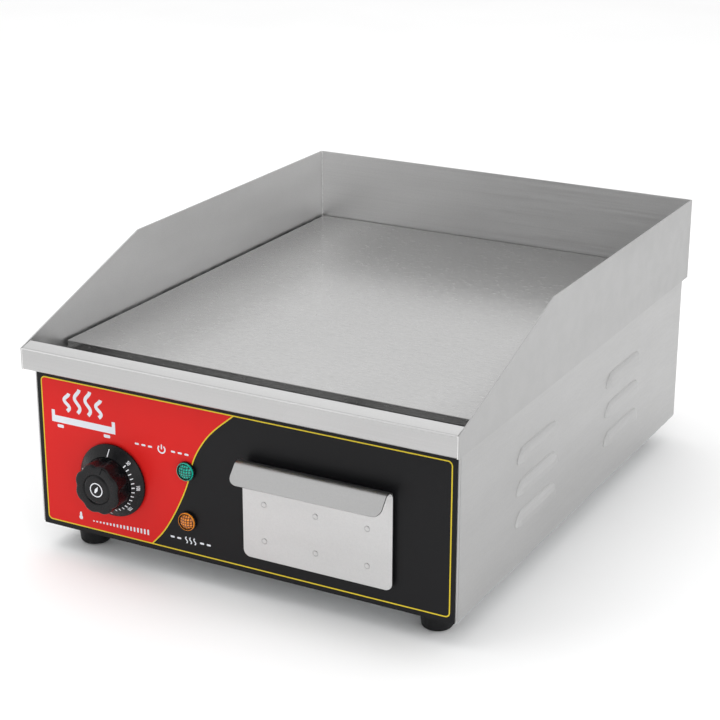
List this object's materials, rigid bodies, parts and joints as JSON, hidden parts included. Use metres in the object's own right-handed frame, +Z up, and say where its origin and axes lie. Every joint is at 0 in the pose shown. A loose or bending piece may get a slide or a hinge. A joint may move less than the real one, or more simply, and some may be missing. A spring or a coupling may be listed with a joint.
{
  "type": "countertop griddle",
  "caption": "Electric countertop flat top griddle: smooth steel hot plate in a stainless casing with splash guards, thermostat dial and pull-out grease drawer.",
  "frame": {"origin": "on the surface the feet stand on, under the centre of the whole outline", "axes": "+X to the right seen from the front, +Y from the front panel to the back, +Z up"},
  "size_m": [0.36, 0.4858, 0.2167],
  "materials": {
    "stainless": "satin",
    "griddle_steel": "satin",
    "galvanised": "matte",
    "zinc_fastener": "satin",
    "element_sheath": "matte",
    "copper": "satin",
    "label": "satin",
    "black_plastic": "satin",
    "badge": "satin",
    "green_lens": "gloss",
    "amber_lens": "gloss",
    "rubber": "matte",
    "ceramic_fibre": "matte",
    "white_plastic": "matte",
    "wire": "satin"
  },
  "bodies": {
    "casing": {"body_shell": "stainless", "front_panel": "stainless", "panel_label": "label", "base_plate": "galvanised", "guard_left": "stainless", "guard_right": "stainless", "guard_rear": "stainless", "drip_rail": "stainless", "grease_trough": "stainless", "drain_spout": "stainless", "support_ring": "stainless", "griddle_plate": "griddle_steel", "heating_element_left": "element_sheath", "heating_element_right": "element_sheath", "clamp_bar_front": "galvanised", "clamp_bar_rear": "galvanised", "insulation_blanket": "ceramic_fibre", "heat_shield": "galvanised", "thermostat_body": "white_plastic", "thermostat_screw_lower": "zinc_fastener", "thermostat_screw_upper": "zinc_fastener", "sensing_bulb": "copper", "power_lamp_lens": "green_lens", "hot_lamp_lens": "amber_lens", "power_lamp_housing": "black_plastic", "hot_lamp_housing": "black_plastic", "power_lamp_clip": "zinc_fastener", "hot_lamp_clip": "zinc_fastener", "drawer_runner_left": "galvanised", "drawer_runner_right": "galvanised", "terminal_block": "white_plastic", "cable_gland": "black_plastic", "gland_locknut": "black_plastic", "wire_live": "wire", "wire_load": "wire", "wire_link": "wire", "wire_neutral": "wire", "wire_earth": "wire", "plate_stud_front_left": "zinc_fastener", "clamp_nut_front_left": "zinc_fastener", "foot_front_left": "rubber", "foot_screw_front_left": "zinc_fastener", "plate_stud_front_right": "zinc_fastener", "clamp_nut_front_right": "zinc_fastener", "foot_front_right": "rubber", "foot_screw_front_right": "zinc_fastener", "plate_stud_rear_left": "zinc_fastener", "clamp_nut_rear_left": "zinc_fastener", "foot_rear_left": "rubber", "foot_screw_rear_left": "zinc_fastener", "plate_stud_rear_right": "zinc_fastener", "clamp_nut_rear_right": "zinc_fastener", "foot_rear_right": "rubber", "foot_screw_rear_right": "zinc_fastener"},
    "dial": {"knob": "black_plastic", "knob_badge": "badge", "thermostat_spindle": "zinc_fastener"},
    "drawer": {"drawer_tray": "stainless", "drawer_front": "stainless"}
  },
  "joints": [
    {"name": "dial_turn", "type": "hinge", "parent": "casing", "child": "dial", "pos_m": [-0.1075, -0.21842, 0.07], "axis": [0, -1, 0], "range_deg": [0, 280]},
    {"name": "drawer_slide", "type": "slide", "parent": "casing", "child": "drawer", "axis": [0, -1, 0], "range_m": [0, 0.13]}
  ]
}
